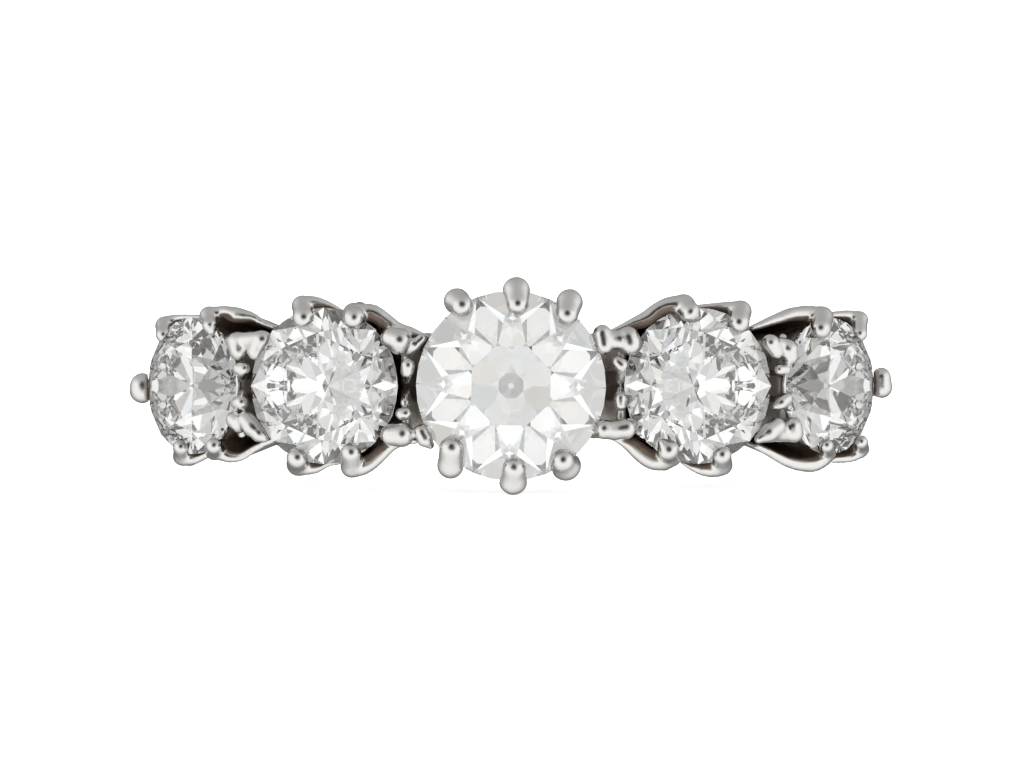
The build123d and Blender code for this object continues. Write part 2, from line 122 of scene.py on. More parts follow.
# Claws: each is a head of round forms given by the photograph's pixel, the height over the girdle in
# millimetres and the radius in pixels, first the outer end and then the tip that lies on the stone.
# The tail is the rim of the wall that sweeps on from the head, given in the same way
Claw = namedtuple("Claw", "head tail")
claws = {
    "centre_stone": [
        Claw([(457, 299, 0.05, 13), (462, 303, 0.35, 12)], []),
        Claw([(516.5, 288, 0.05, 13.5), (517.5, 302, 0.38, 11.6)], []),
        Claw([(569.5, 300, 0.05, 13), (567, 312, 0.38, 12)], []),
        Claw([(450.5, 463, 0.0, 13), (451.5, 446, 0.36, 12.8)], []),
        Claw([(513.3, 479, 0.0, 13.8), (514, 466, 0.36, 12.2)], []),
        Claw([(566, 463.5, 0.0, 15), (563, 458.5, 0.36, 12.5)], []),
    ],
    "inner_stone_left": [
        Claw([(301.5, 303.5, 0.05, 9.8), (303.5, 315.5, 0.42, 11.5)],
             [(303.5, 302, 0.05, 9), (316, 300.5, -0.05, 6.5), (330, 304.5, -0.2, 4.5),
              (343, 311.5, -0.35, 3.5)]),
        Claw([(354, 312, 0.1, 11.5), (354, 316, 0.42, 11.5)],
             [(362, 309.5, 0.0, 9), (374, 311, -0.1, 8.7), (385, 318.5, -0.3, 8.2), (397, 326.5, -0.4, 7.2),
              (411, 330.5, -0.5, 6), (426, 336, -0.55, 4)]),
        Claw([(298, 462, 0.0, 11.3), (297, 456, 0.42, 11.2)],
             [(303, 465, -0.05, 8.5), (315, 465, -0.15, 6.5), (327, 460.5, -0.25, 4.5),
              (341, 458.5, -0.35, 3.5)]),
        Claw([(352, 464, 0.0, 11.3), (351, 450.5, 0.42, 11)],
             [(357, 466.5, -0.05, 8.5), (364, 464, -0.1, 8.5), (373, 458, -0.2, 8.2),
              (382.5, 449.5, -0.3, 7.5), (392, 442, -0.4, 6.5), (405, 438, -0.45, 5), (415, 438, -0.5, 4)]),
    ],
    "inner_stone_right": [
        Claw([(684, 303.5, 0.05, 11.5), (690.5, 310.5, 0.42, 10.5), (695.5, 315, 0.42, 5.5)],
             [(680, 303, 0.05, 11), (668, 303.5, -0.05, 8.8), (657, 308.5, -0.2, 8), (646, 317, -0.35, 8.2),
              (634, 321.5, -0.4, 6.5), (622, 326, -0.5, 4.5), (612, 330, -0.55, 3)]),
        Claw([(741, 309, 0.05, 10.8), (739, 320.5, 0.42, 11.3)],
             [(735, 306, 0.0, 8), (722, 304.5, -0.15, 5), (708, 305, -0.3, 4), (696, 306, -0.4, 3.5)]),
        Claw([(670, 453, 0.0, 12), (668, 447.5, 0.42, 11), (662, 440, 0.44, 5)],
             [(664, 458, -0.05, 10.5), (653, 458, -0.15, 9.8), (642, 451.5, -0.3, 9.2), (632, 443, -0.4, 8),
              (621, 437.5, -0.45, 5), (612, 434.5, -0.5, 3)]),
        Claw([(722, 462.5, 0.0, 10.5), (722, 453, 0.42, 10.3)],
             [(716, 466, -0.05, 9.5), (706, 467, -0.15, 7.5), (695, 464.5, -0.25, 5.5),
              (684, 459.5, -0.4, 3.5)]),
    ],
    "outer_stone_left": [
        Claw([(141, 388, 0.28, 12.8), (141, 383, 0.30, 12.8)], []),
        Claw([(162.5, 323, 0.1, 8.2), (162, 332.5, 0.38, 8)],
             [(163.5, 321, 0.05, 7.5), (172, 317.5, -0.1, 5.5), (182, 315.5, -0.2, 4),
              (199, 315.5, -0.3, 3.5)]),
        Claw([(208, 313.5, 0.1, 9.3), (209.5, 323.5, 0.38, 7.5), (211, 329, 0.38, 4.5)],
             [(211, 313, 0.05, 9), (222, 308.8, -0.05, 5.6), (233, 312, -0.15, 8.2),
              (244, 313.6, -0.25, 6.8), (252, 314.5, -0.35, 4.6), (259, 318.5, -0.4, 3.8),
              (267, 322.5, -0.45, 3), (275, 325.5, -0.5, 2.6)]),
        Claw([(181, 454.5, 0.05, 8.8), (180, 445, 0.38, 8.3)],
             [(185, 456.5, 0.0, 7.5), (192, 457, -0.1, 6), (200, 455, -0.2, 4.5), (210, 450, -0.3, 4)]),
        Claw([(214, 448, 0.05, 9.8), (213.5, 443.5, 0.38, 9.3)],
             [(219, 449.5, -0.05, 8.5), (229, 454.5, -0.2, 6.3), (240, 454.6, -0.3, 4.3),
              (252, 447.6, -0.4, 3.6), (263, 441.6, -0.45, 3.2), (274, 437, -0.5, 3)]),
    ],
    "outer_stone_right": [
        Claw([(883.2, 385, 0.26, 10.4), (882.8, 375, 0.28, 10.4)], []),
        Claw([(822.5, 315.5, 0.1, 11.7), (821.5, 326.5, 0.38, 11)],
             [(818, 313.5, 0.0, 9.5), (806, 311, -0.05, 8), (792, 311.8, -0.2, 6.8),
              (777, 316.5, -0.35, 5.6), (764, 321.3, -0.45, 4.4), (753, 325.5, -0.5, 3)]),
        Claw([(861, 317, 0.1, 8.3), (861, 331.5, 0.38, 8)],
             [(857, 315, 0.0, 7), (846, 312.5, -0.1, 5), (833, 313, -0.25, 4)]),
        Claw([(828.5, 451, 0.05, 8), (827.5, 443.5, 0.38, 7.8)],
             [(825, 456, -0.05, 8.5), (814, 462, -0.15, 7.8), (800, 462.5, -0.25, 6.3),
              (786, 459, -0.35, 5.2), (771, 451, -0.45, 4.4), (757, 444, -0.5, 3.2)]),
        Claw([(863, 447, 0.05, 7.6), (862.5, 439.8, 0.38, 7.3)],
             [(860, 450, 0.0, 7.5), (853, 454.5, -0.1, 5.5), (845, 456.5, -0.2, 4.5), (835, 457, -0.3, 4)]),
    ],
}

# Metal between the stones, gap by gap from the left: lobes of the saddles and the two beads, given as
# the heads are, with their heights over the middle of the gap
lobes = [
    [
        [(236.5, 339.5, 0.04, 10.5), (238.5, 348, 0.04, 10.5)],
        [(260.5, 337.5, 0.04, 9.5), (256, 349.5, 0.04, 9.8)],
        [(233, 339, 0.0, 9.5), (263, 337.5, 0.0, 9.5)],
        [(238.5, 366.5, 0.06, 6.8), (244.5, 366, 0.06, 6.5)],
        [(242, 368, 0.05, 7), (242, 377.5, -0.2, 3.5)],
        [(236.5, 401, 0.04, 7), (241, 400, 0.04, 7.4), (242.5, 391, -0.1, 4.5)],
        [(234, 417.5, 0.04, 9.5), (238.5, 422.5, 0.04, 9)],
        [(246, 418, 0.04, 10), (251.5, 424.5, 0.04, 9.8), (259.5, 432, 0.0, 8), (264.5, 435.5, -0.05, 5)],
    ],
    [
        [(391.5, 335.5, 0.04, 11.5), (399.5, 338.5, 0.08, 12.2), (399.5, 344.5, 0.04, 9)],
        [(422, 336, -0.1, 5.5), (414.5, 343, -0.06, 6), (408, 350, -0.08, 5)],
        [(408, 363.5, 0.06, 7.9), (407.5, 369, 0.02, 6.5), (406.5, 379, -0.3, 3.2)],
        [(407.5, 391, -0.35, 3.2), (405, 400, -0.12, 5.4)],
        [(402, 411.5, 0.04, 7.2), (406, 411, 0.04, 7.2)],
        [(391, 432.5, 0.04, 11.5), (402, 432.5, 0.06, 12.8)],
        [(421.5, 430, 0.02, 8.6), (425.5, 437, 0.0, 8), (430.5, 443, -0.08, 4.5)],
        [(377, 330, -1.2, 7), (384, 337, -1.2, 7)],
        [(376, 443, -1.2, 7), (383, 435, -1.2, 7)],
    ],
    [
        [(602, 331.5, 0.0, 9.8), (604, 343, 0.04, 9.8)],
        [(628, 335.5, 0.04, 12), (630.5, 341.5, 0.06, 12.2)],
        [(606, 337, -0.03, 10.2), (623, 338, -0.03, 10.6)],
        [(617.5, 359.5, 0.05, 6.5), (621.5, 363, 0.05, 7), (620.5, 378, -0.22, 4.5)],
        [(620.5, 387, -0.25, 3.8), (620.5, 396, -0.02, 6.7), (620.5, 402.5, 0.0, 6.5)],
        [(604, 427, 0.04, 10.5), (614, 427.8, 0.02, 9.6), (627, 426, 0.04, 10.5), (631, 424, 0.0, 8)],
    ],
    [
        [(771.5, 341, 0.04, 9), (776.5, 349.5, 0.04, 8.2)],
        [(789, 347.5, 0.04, 10.8), (790.5, 354, 0.04, 9.3)],
        [(769, 340, -0.02, 8), (788, 344.5, -0.02, 8.8)],
        [(779.5, 367.5, 0.05, 6.2), (786, 367.5, 0.05, 6.2)],
        [(776, 404, 0.0, 4.5), (781.5, 400.5, 0.04, 7), (787, 396.5, 0.04, 6.5), (783, 400, -0.35, 5.5)],
        [(788, 404, 0.02, 5), (792, 407.5, 0.02, 4.6)],
        [(777, 424.5, 0.04, 10), (769, 430.5, 0.02, 9.8), (759, 436.5, -0.05, 5.5)],
        [(793, 424.5, 0.04, 10.5), (794.5, 431, 0.04, 10)],
        [(773, 431.5, -0.02, 9), (794, 431.8, -0.02, 9)],
    ],
]
# A small pierced eye in the band of the left outer stone, and how deep it goes in millimetres
eyes = {"outer_stone_left": (225, 317.6, 0.30, 5.4)}
eye_depth = 0.45
# The spine under the beads of each gap: its pixel along the row, and in millimetres how far it reaches
# up and down, how deep its crest lies, the depth and reach of the notch in its middle, and its radius
spine_pixels = [241.5, 406.5, 620.5, 783.0]
spine_reach = 1.35
spine_crest = 0.32
spine_notch = 0.75
spine_notch_reach = spine_reach / 3
spine_radius = 0.17

# Claw legs: their radius, and how far down the collet they stand as a share of its depth
leg_radius = 0.25
leg_foot_share = 0.62
# Walls that sweep on from the claws: radius at the foot, radius at the rim as a share of the rim's own,
# which of the rim's points carry its round edge, and how much they lean in on their way down
wall_radius = 0.085
wall_share = 0.55
rim_step = 3
wall_lean = 0.22
# A rim that ends past this share of its stone's radius goes across to the next stone and stands on the
# rail, sunk into it. The others are wings that go down only so deep
pass_share = 0.9
wing_depth = 1.1
rail_sink = 0.25

# Distance field: the grid's spacing and corners, the distance far from any metal, and the widths over
# which forms blend, in millimetres
spacing = 0.05
grid_low = np.array((-11.413, -13.387, -3.509))
grid_high = np.array((11.4, 10.2, 3.4))
far = 10.0
head_blend = 0.10
metal_blend = 0.07
cone_blend = 0.16
edge_blend = 0.14
stone_clearance = 0.012
window_margin = 0.30
least_square = 1e-9
facet_digits = 3
# A place is kept this far inside the grid's last line, counted in lines
last_cell = 1.001

# Mesh
metal_triangles = 190000

# The metal stands this far inside its drawn surface
skin = 0.006

# Hand-worked unevenness: its height, and its waves, each a direction and a length, in millimetres
uneven = 0.016
uneven_waves = [
    ((1.0, 0.4, 0.7), 1.7), ((-0.5, 1.0, 0.6), 1.1), ((0.3, -0.6, 1.0), 0.8), ((0.8, 0.7, -0.5), 0.55),
    ((-0.9, 0.2, 0.6), 0.42), ((0.4, 0.9, -0.8), 0.35),
]

# Tarnish and painted shade: the metal is painted a darker brown the more of the space round a point is
# filled, over this reach in millimetres, and the walls' inner faces gain this much more painted shade
coarse = 2
hollow_reach = 0.45
hollow_lift = 0.16
inner_shade_gain = 0.30
inner_start = 0.05
inner_full = 0.45
band_shift = 0.35
bright_margin = (0.02, 0.12)
band_margin = (0.03, 0.15)
# Clean metal, then brown tarnish that deepens into painted shade where the space round is most filled
tarnish_and_shade_stops = [
    (0.34, (0.75, 0.74, 0.72)),
    (0.44, (0.50, 0.46, 0.42)),
    (0.54, (0.17, 0.125, 0.095)),
    (0.75, (0.10, 0.068, 0.05)),
]
# The collets' insides, from this depth under the girdle, are as cast, pale and matt
frost_colour = (0.80, 0.79, 0.77, 1)
frost_top = 0.15

# The metal's finish: scale and detail of its cloud patterns, how much the patches move the edge of the
# tarnish and painted shade, the speckle on the brown, roughness and bareness from polished to dull, and the
# fine wear
patch_noise = (2400.0, 5.0)
grain_noise = (14000.0, 3.0)
wear_noise = (6000.0, 5.0)
patch_shift = 0.16
speckle_stops = [(0.35, 0.78), (0.62, 1.0)]
roughness_ends = (0.23, 0.48)
metallic_ends = (1.0, 0.35)
wear_strength = 0.35
wear_height = 0.02

# The stones' colour and refraction
stone_colour = (0.985, 0.985, 0.97, 1)
stone_refraction = 2.417

# Light tent for the metal: brightness by the angle from the front in degrees, dark where the lens
# stands, and by the height of the direction. The dark spot is raised, and its edge wobbles
half_turn = 180
lens_rise = 20.0
lens_wobble = 15.0
lens_noise = (5.0, 2.0)
metal_front = [
    (0, 0.02), (18, 0.05), (27, 0.40), (40, 0.92), (50, 1.0), (74, 1.0), (100, 0.82), (122, 0.46),
    (145, 0.20), (180, 0.14),
]
metal_height = [(-1.0, 0.95), (-0.7, 1.0), (0.35, 1.0), (0.60, 0.72), (0.85, 0.48), (1.0, 0.42)]
metal_gain = 1.2
# Light tent for the stones, with its soft patches and faint tints
stone_front = [
    (0, 0.46), (8, 0.48), (13, 0.94), (18, 1.0), (28, 1.0), (37, 0.56), (54, 0.50), (64, 0.45), (80, 0.36),
    (95, 0.30), (180, 0.42),
]
stone_gain = 1.2
stone_patch_noise = (3.2, 1.0)
stone_patches = [(0.30, 0.82), (0.46, 0.96), (0.60, 1.0), (1.0, 1.0)]
stone_tint_noise = (4.5, 1.0)
stone_tints = [(0.32, (0.93, 0.97, 1.0)), (0.45, (1, 1, 1)), (0.58, (1, 1, 1)), (0.72, (1.0, 0.965, 0.89))]
# Light tent for whatever scatters its light
open_light = 1.0
# How many times light may bounce, enough for its way round inside a cut stone
light_bounces = 28
# A small lamp in the finger hole that shines into the backs of the collets: its size in metres, how far
# it stands from the finger's axis in millimetres, and its power
back_lamp_width = 0.013
back_lamp_height = 0.0044
back_lamp_reach = 5.2
back_lamp_power = 0.00014
# Floor that glows a little
floor_size = 12.0
floor_colour = (0.93, 0.93, 0.93, 1)
floor_roughness = 0.9
floor_glow = 0.62
# Lamp overhead
lamp_size = 2.0
lamp_height = 1.3
lamp_power = 9.0


# Helpers

def emptied_tree(owner):
    """The node tree of a material or a world, emptied."""
    owner.use_nodes = True
    owner.node_tree.nodes.clear()
    return owner.node_tree


def new_object(name, data):
    """A new object of this mesh, light or camera, in the scene."""
    thing = bpy.data.objects.new(name, data)
    bpy.context.scene.collection.objects.link(thing)
    return thing


def applied(piece):
    """The piece with its modifiers made part of its mesh."""
    graph = bpy.context.evaluated_depsgraph_get()
    mesh = bpy.data.meshes.new_from_object(piece.evaluated_get(graph))
    piece.modifiers.clear()
    piece.data = mesh
    return piece


def joined(tree, kind, settings, inputs):
    """A new node with these settings, its inputs set to values or linked to sockets."""
    node = tree.nodes.new(kind)
    for name, value in settings.items():
        setattr(node, name, value)
    for name, value in inputs.items():
        if isinstance(value, bpy.types.NodeSocket):
            tree.links.new(value, node.inputs[name])
        else:
            node.inputs[name].default_value = value
    return node


def ramp_of(tree, place, stops):
    """The colour at a place along a row of stops, each a position with a grey or a colour."""
    ramp = joined(tree, "ShaderNodeValToRGB", {}, {"Fac": place})
    elements = ramp.color_ramp.elements
    elements.remove(elements[1])
    for n, (position, value) in enumerate(stops):
        element = elements[0] if n == 0 else elements.new(position)
        element.position = position
        element.color = (*np.broadcast_to(value, 3), 1)
    return ramp.outputs["Color"]


def noise_of(tree, place, scale, detail):
    """A soft cloud pattern from 0 to 1."""
    noise = joined(tree, "ShaderNodeTexNoise", {}, {"Vector": place, "Scale": scale, "Detail": detail})
    return noise.outputs["Fac"]


def math_of(tree, operation, *values):
    """A sum done by a node."""
    return joined(tree, "ShaderNodeMath", {"operation": operation}, dict(enumerate(values))).outputs[0]


def mix_of(tree, share, first, second, blend="MIX"):
    """Two colours mixed or multiplied."""
    mix = joined(tree, "ShaderNodeMix", {"data_type": "RGBA", "blend_type": blend},
                 {"Factor": share, "A": first, "B": second})
    return mix.outputs["Result"]


def product_of(tree, first, *others):
    """Colours multiplied one after the other."""
    for other in others:
        first = mix_of(tree, 1.0, first, other, "MULTIPLY")
    return first


def range_of(tree, share, ends):
    """A value that runs from one end to the other as the share runs from 0 to 1."""
    between = joined(tree, "ShaderNodeMapRange", {}, {"Value": share, "To Min": ends[0], "To Max": ends[1]})
    return between.outputs["Result"]


def grey_of(level):
    """A grey of this brightness as a colour."""
    return level, level, level, 1


def surface_in(tree, inputs):
    """Close a material's tree with a shader that has these inputs."""
    shader = joined(tree, "ShaderNodeBsdfPrincipled", {}, inputs)
    joined(tree, "ShaderNodeOutputMaterial", {}, {"Surface": shader.outputs["BSDF"]})


# Places in the ring's own frame

def seat_of(stone):
    """The middle of a stone's girdle, the direction along the row, and the way the stone faces."""
    rise = sqrt((finger_radius + stone.height) ** 2 - stone.along ** 2)
    lean = radians(stone.tilt)
    origin = np.array((stone.along, -rise, 0.0))
    return origin, np.array((cos(lean), sin(lean), 0.0)), np.array((sin(lean), -cos(lean), 0.0))


def gap_place(left, right):
    """The middle between two stones' girdles, and the way out from the finger there."""
    left_origin, left_along, left_facing = seat_of(left)
    right_origin, right_along, right_facing = seat_of(right)
    middle = (left_origin + left_along * left.radius + right_origin - right_along * right.radius) / 2
    return middle, middle / np.linalg.norm(middle)


def spot(origin, facing, place):
    """The point behind a pixel of the photograph, at a height over the plane through an origin."""
    x = (place[0] - middle_stone_pixel[0]) * pixel
    z = (middle_stone_pixel[1] - place[1]) * pixel
    y = origin[1] + (place[2] - (x - origin[0]) * facing[0]) / facing[1]
    return np.array((x, y, z))


# Distance fields

def soft_min(first, second, blend):
    """The lesser of two distances, rounded where they are close."""
    near = np.maximum(blend - np.abs(first - second), 0) / blend
    return np.minimum(first, second) - near * near * (blend / 4)


def soft_max(first, second, blend):
    """The greater of two distances, rounded where they are close."""
    return -soft_min(-first, -second, blend)


class Field:
    """A box of distances to the metal, negative inside it."""

    def __init__(self):
        counts = np.ceil((grid_high - grid_low) / spacing).astype(int) + 1
        self.axes = [
            (grid_low[n] + spacing * np.arange(counts[n])).astype(np.float32)
            for n in range(3)
        ]
        self.values = np.full(counts, far, dtype=np.float32)

    def window(self, low, high):
        """The part of the box between two corners: its slices and its coordinates."""
        slices = []
        for n in range(3):
            first = int(np.floor((low[n] - window_margin - grid_low[n]) / spacing))
            last = int(np.ceil((high[n] + window_margin - grid_low[n]) / spacing)) + 1
            slices.append(slice(max(first, 0), max(last, 0)))
        x, y, z = (self.axes[n][slices[n]] for n in range(3))
        return tuple(slices), (x[:, None, None], y[None, :, None], z[None, None, :])


def bar_distance(coordinates, start, end, start_radius, end_radius):
    """Distance to a round bar that tapers from one point to the other."""
    line = end - start
    square = max(float(line @ line), least_square)
    away = [coordinates[n] - np.float32(start[n]) for n in range(3)]
    share = sum(away[n] * np.float32(line[n]) for n in range(3)) / np.float32(square)
    share = np.clip(share, 0, 1)
    gaps = [away[n] - share * np.float32(line[n]) for n in range(3)]
    reach = np.sqrt(gaps[0] ** 2 + gaps[1] ** 2 + gaps[2] ** 2)
    return reach - (start_radius + share * np.float32(end_radius - start_radius))


def chain_in(field, points, radii, own_blend, blend):
    """Join a chain of tapering bars to the field, with soft joints."""
    widest = max(radii)
    low = np.min(points, axis=0) - widest
    high = np.max(points, axis=0) + widest
    slices, coordinates = field.window(low, high)
    own = np.full(field.values[slices].shape, far, dtype=np.float32)
    for n in range(len(points) - 1):
        bar = bar_distance(coordinates, points[n], points[n + 1], radii[n], radii[n + 1])
        own = soft_min(own, bar, own_blend)
    field.values[slices] = soft_min(field.values[slices], own, blend)


def smooth_path(points, step):
    """Points at even steps along a smooth curve through the given ones, each with its radius."""
    rows = np.array(points, dtype=float)
    ends = np.vstack([2 * rows[0] - rows[1], rows, 2 * rows[-1] - rows[-2]])
    path = []
    for n in range(1, len(ends) - 2):
        before, start, end, after = ends[n - 1:n + 3]
        count = max(2, int(np.linalg.norm((end - start)[:3]) / step))
        for share in np.arange(count) / count:
            square, cube = share ** 2, share ** 3
            path.append(0.5 * (
                2 * start + (end - before) * share
                + (2 * before - 5 * start + 4 * end - after) * square
                + (3 * start - before - 3 * end + after) * cube
            ))
    path.append(ends[-2])
    return np.array(path)


def wall_in(field, path, feet, top_radii, foot_radius, blend):
    """Join a thin wall that runs down from a rim to its foot."""
    low = np.minimum(path.min(axis=0), feet.min(axis=0)) - top_radii.max()
    high = np.maximum(path.max(axis=0), feet.max(axis=0)) + top_radii.max()
    slices, coordinates = field.window(low, high)
    own = np.full(field.values[slices].shape, far, dtype=np.float32)
    for top, foot, radius in zip(path, feet, top_radii):
        np.minimum(own, bar_distance(coordinates, top, foot, radius, foot_radius), out=own)
    field.values[slices] = soft_min(field.values[slices], own, blend)


def collet_foot(stone):
    """How deep the collet's foot lies below the girdle."""
    return stone.height - rail_thickness / 2


def collet_radius(stone, depth):
    """The collet's outer radius at a depth below the girdle."""
    top = stone.radius - collet_inset
    foot = stone.radius * collet_foot_share
    return top + (foot - top) * (depth - collet_drop) / (collet_foot(stone) - collet_drop)


def shank_and_rail(field):
    """The tapered shank and the plain rail under the collets."""
    x, y, z = (field.axes[0][:, None, None], field.axes[1][None, :, None], field.axes[2][None, None, :])
    reach = np.sqrt(x * x + y * y)
    back = y / np.maximum(reach, np.float32(spacing))
    turn = np.arccos(np.clip(-back, -1, 1))
    share = np.minimum((1 - back) / (1 + cos(radians(shoulder_turn))), 1)
    thickness = shank_thickness + (shank_shoulder_thickness - shank_thickness) * share ** shank_swell_power
    width = shank_back_width + (shank_shoulder_width - shank_back_width) * share
    rise = thickness * (1 - shank_edge_share)
    arc = ((width / 2) ** 2 + rise ** 2) / (2 * rise)
    middle = finger_radius + thickness - arc
    crown = np.sqrt((reach - middle) ** 2 + z * z) - arc
    side = np.abs(z) - width / 2
    end = reach * (radians(shoulder_turn) - turn)
    shank = soft_max(soft_max(crown, side, edge_blend), end, edge_blend)
    rail_top = reach - (finger_radius + rail_thickness)
    rail_side = np.abs(z) - rail_width / 2
    rail_end = reach * (turn - radians(shoulder_turn + rail_lap))
    rail = soft_max(soft_max(rail_top, rail_side, edge_blend), rail_end, edge_blend)
    field.values[:] = soft_min(shank, rail, edge_blend)
    return reach


def stone_window(field, stone, depth):
    """The window round a stone and its collet, with the coordinates in the stone's own frame."""
    origin, along, facing = seat_of(stone)
    corners = [
        origin + along * side * stone.radius + facing * level
        for side in (-1, 1) for level in (stone.radius / 2, -depth)
    ]
    low, high = np.min(corners, axis=0), np.max(corners, axis=0)
    low[2], high[2] = -stone.radius, stone.radius
    slices, (x, y, z) = field.window(low, high)
    x, y = x - np.float32(origin[0]), y - np.float32(origin[1])
    u = x * np.float32(along[0]) + y * np.float32(along[1])
    w = x * np.float32(facing[0]) + y * np.float32(facing[1])
    return slices, u, z, w


def cone_distance(stone, u, z, w, inset):
    """Distance to the cone in line with the collet's outer face, set in by the inset."""
    slope = collet_radius(stone, 1.0) - collet_radius(stone, 0.0)
    steep = 1 / sqrt(1 + slope ** 2)
    return (np.sqrt(u * u + z * z) - (collet_radius(stone, 0.0) - slope * w - inset)) * steep


def collets(field):
    """The collets' cones, and then their cavities and slots cut out."""
    for stone in stones:
        slices, u, z, w = stone_window(field, stone, collet_foot(stone))
        cone = cone_distance(stone, u, z, w, 0.0)
        cone = soft_max(soft_max(cone, w + collet_drop, edge_blend), -w - collet_foot(stone), edge_blend)
        field.values[slices] = soft_min(field.values[slices], cone, cone_blend)
    for stone in stones:
        slices, u, z, w = stone_window(field, stone, stone.height + cavity_reach)
        cavity = cone_distance(stone, u, z, w, collet_wall)
        field.values[slices] = soft_max(field.values[slices], -cavity, edge_blend)
        for bearing in slot_bearings(stone):
            side = np.float32(cos(bearing)) * z - np.float32(sin(bearing)) * u
            outwards = np.float32(cos(bearing)) * u + np.float32(sin(bearing)) * z
            level = np.maximum(np.abs(w + slot_depth) - (slot_height - slot_width) / 2, 0)
            slot = soft_max(np.sqrt(level ** 2 + side ** 2) - slot_width / 2, -outwards, edge_blend)
            field.values[slices] = soft_max(field.values[slices], -slot, edge_blend)


def claw_bearing(stone, claw):
    """The bearing of a claw's outer end about its stone, and its distance from the stone's middle."""
    origin, along, facing = seat_of(stone)
    away = spot(origin, facing, claw.head[0]) - origin
    return atan2(away[2], float(away @ along)), sqrt(away[2] ** 2 + float(away @ along) ** 2)


def slot_bearings(stone):
    """The bearings midway between claws that stand close together."""
    bearings = sorted(claw_bearing(stone, claw)[0] % (2 * pi) for claw in claws[stone.name])
    around = zip(bearings, bearings[1:] + [bearings[0] + 2 * pi])
    return [(first + second) / 2 for first, second in around if second - first < radians(widest_slot_turn)]


def claw_forms(field):
    """Heads and legs of the claws, and the walls that sweep on from the heads."""
    for stone in stones:
        origin, along, facing = seat_of(stone)
        depth = leg_foot_share * collet_foot(stone)
        for claw in claws[stone.name]:
            bearing, distance = claw_bearing(stone, claw)
            outwards = along * cos(bearing) + np.array((0, 0, sin(bearing)))
            head = [spot(origin, facing, place) for place in claw.head]
            radii = [place[3] * pixel for place in claw.head]
            foot = origin + outwards * (collet_radius(stone, depth) - leg_radius / 2) - facing * depth
            knee = origin + outwards * max(distance, stone.radius + leg_radius / 2) - facing * leg_radius
            chain_in(field, [foot, knee] + head, [leg_radius, leg_radius] + radii, head_blend, metal_blend)
    rims = []
    for left, right in zip(stones, stones[1:]):
        outer, inner = sorted((left, right), key=lambda stone: -abs(stone.along))
        for claw in claws[outer.name]:
            if claw.tail:
                rims.append((outer, wall(field, outer, inner, claw)))
    return rims


def wall(field, outer, inner, claw):
    """One wall: its rim runs from the claw's head along its tail, and its foot stands on the rail.
    A rim that goes past its own stone bends across to the next one."""
    origin, along, facing = seat_of(outer)
    end_x = claw.tail[-1][0]
    own_edge = abs(outer.along) - pass_share * outer.radius * cos(radians(outer.tilt))
    across = abs((end_x - middle_stone_pixel[0]) * pixel) < own_edge
    rim = []
    start = spot(origin, facing, claw.tail[0])
    if across:
        inner_origin, inner_along, inner_facing = seat_of(inner)
        end = spot(inner_origin, inner_facing, claw.tail[-1])
    else:
        end = spot(origin, facing, claw.tail[-1])
    for place in claw.tail:
        share = (place[0] - claw.tail[0][0]) / (end_x - claw.tail[0][0])
        here = spot(origin, facing, place)
        here[1] = start[1] + (end[1] - start[1]) * share if across else here[1]
        rim.append([*here, place[3] * pixel])
    path = smooth_path(rim, spacing)
    points, radii = path[:, :3], path[:, 3]
    flat = np.array((1.0, 1.0, 0.0))
    outwards = points * flat
    outwards /= np.linalg.norm(outwards, axis=1)[:, None]
    stand = np.linalg.norm(points * flat, axis=1) - (finger_radius + rail_thickness - rail_sink)
    drop = stand if across else np.minimum(stand, wing_depth)
    feet = points - outwards * drop[:, None]
    side = np.sign(points[0, 2])
    feet[:, 2] -= side * wall_lean * drop
    keep = np.abs(feet[:, 2]) > (rail_width / 2 - rail_sink)
    feet[keep & across, 2] = side * (rail_width / 2 - rail_sink)
    wall_in(field, points, feet, np.maximum(radii * wall_share, wall_radius), wall_radius, metal_blend)
    rim = [*zip(points[::rim_step], radii[::rim_step]), (points[-1], radii[-1])]
    rim_points, rim_radii = zip(*rim)
    chain_in(field, rim_points, rim_radii, spacing, metal_blend)
    return rim


def eyes_out(field):
    """Cut the small eyes in the bands."""
    for stone in stones:
        if stone.name in eyes:
            origin, along, facing = seat_of(stone)
            top = spot(origin, facing, eyes[stone.name])
            end = top + np.array((0, eye_depth, 0))
            radius = eyes[stone.name][3] * pixel
            slices, coordinates = field.window(np.minimum(top, end) - radius, np.maximum(top, end) + radius)
            eye = bar_distance(coordinates, top, end, radius, radius)
            field.values[slices] = soft_max(field.values[slices], -eye, metal_blend)


def gap_forms(field):
    """Spine, beads and saddle lobes of each gap."""
    for (left, right), parts, spine_pixel in zip(zip(stones, stones[1:]), lobes, spine_pixels):
        origin, facing = gap_place(left, right)
        for part in parts:
            points = [spot(origin, facing, place) for place in part]
            radii = [place[3] * pixel for place in part]
            chain_in(field, points, radii, head_blend, metal_blend)
        levels = np.linspace(-spine_reach, spine_reach, int(2 * spine_reach / spacing))
        dips = spine_crest + spine_notch * np.maximum(1 - np.abs(levels) / spine_notch_reach, 0)
        rim = np.array([
            spot(origin, facing, (spine_pixel, middle_stone_pixel[1] - level / pixel, -dip))
            for level, dip in zip(levels, dips)
        ])
        inwards = rim * np.array((1.0, 1.0, 0.0))
        stand = np.linalg.norm(inwards, axis=1)
        inwards /= stand[:, None]
        feet = rim - inwards * (stand - (finger_radius + rail_thickness - rail_sink))[:, None]
        wall_in(field, rim, feet, np.full(len(rim), spine_radius), spine_radius, metal_blend)


def stone_planes(stone):
    """The facets of a stone's solid as planes in the ring's own frame."""
    mesh = frame["nodes"][stone.name].data
    back = lay_down.inverted()
    turn = back.to_3x3().normalized()
    rows = []
    for polygon in mesh.polygons:
        facing = turn @ polygon.normal
        corner = back @ mesh.vertices[polygon.vertices[0]].co
        rows.append([*facing, facing.dot(corner)])
    return np.unique(np.round(np.array(rows), facet_digits), axis=0)


